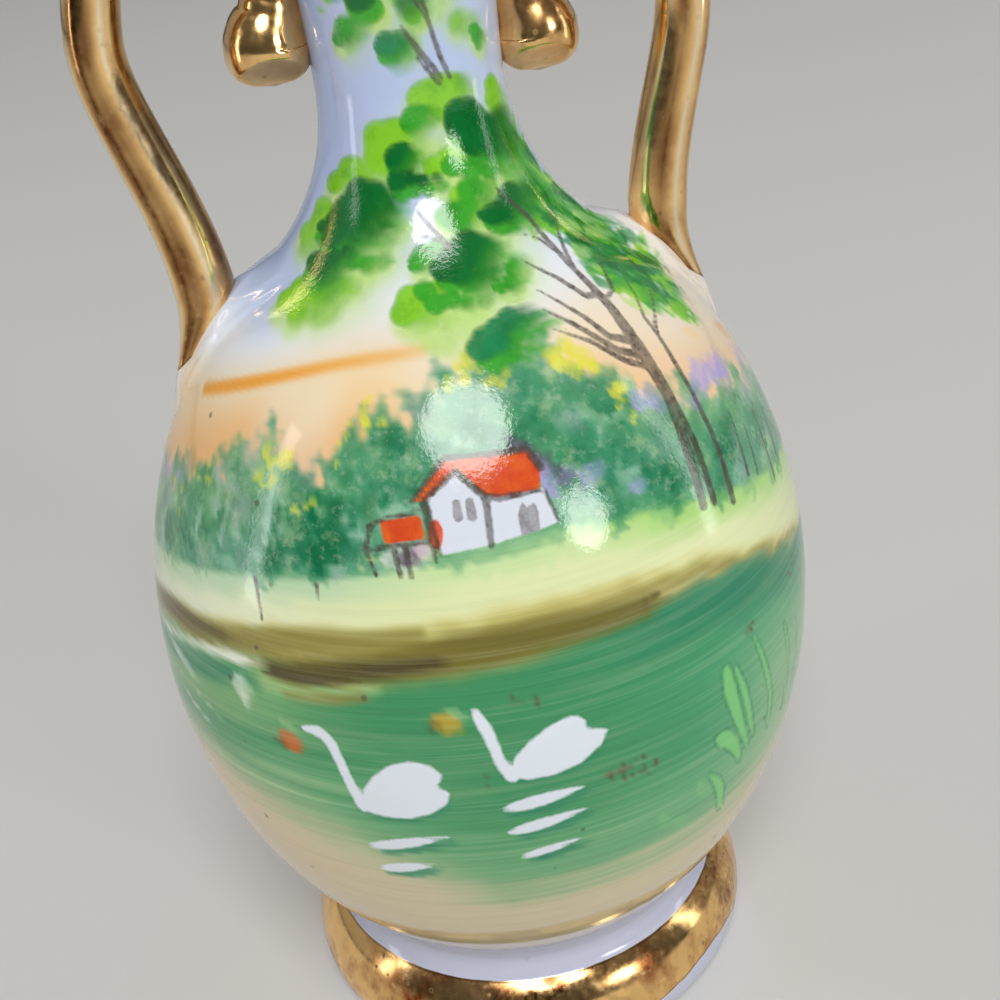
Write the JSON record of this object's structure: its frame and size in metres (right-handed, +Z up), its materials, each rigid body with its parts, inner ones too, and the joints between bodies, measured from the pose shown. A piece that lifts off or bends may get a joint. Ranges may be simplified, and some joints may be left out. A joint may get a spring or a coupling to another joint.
{
  "type": "miniature bud vase",
  "caption": "Small hollow porcelain vase with an egg-shaped body, narrow flared neck, gilt foot and a pair of gilt scroll handles, for a single stem.",
  "frame": {"origin": "on the ground, under the middle of the foot", "axes": "+Z up along the vase's axis, handles along X, painted front towards -Y"},
  "size_m": [0.0462, 0.0462, 0.0966],
  "materials": {
    "glazed_porcelain": "white porcelain under clear gloss glaze, hand-painted lake scene in enamel colours, worn gilding on foot, handles and lip"
  },
  "bodies": {
    "root": {"vase": "glazed_porcelain"}
  },
  "joints": []
}
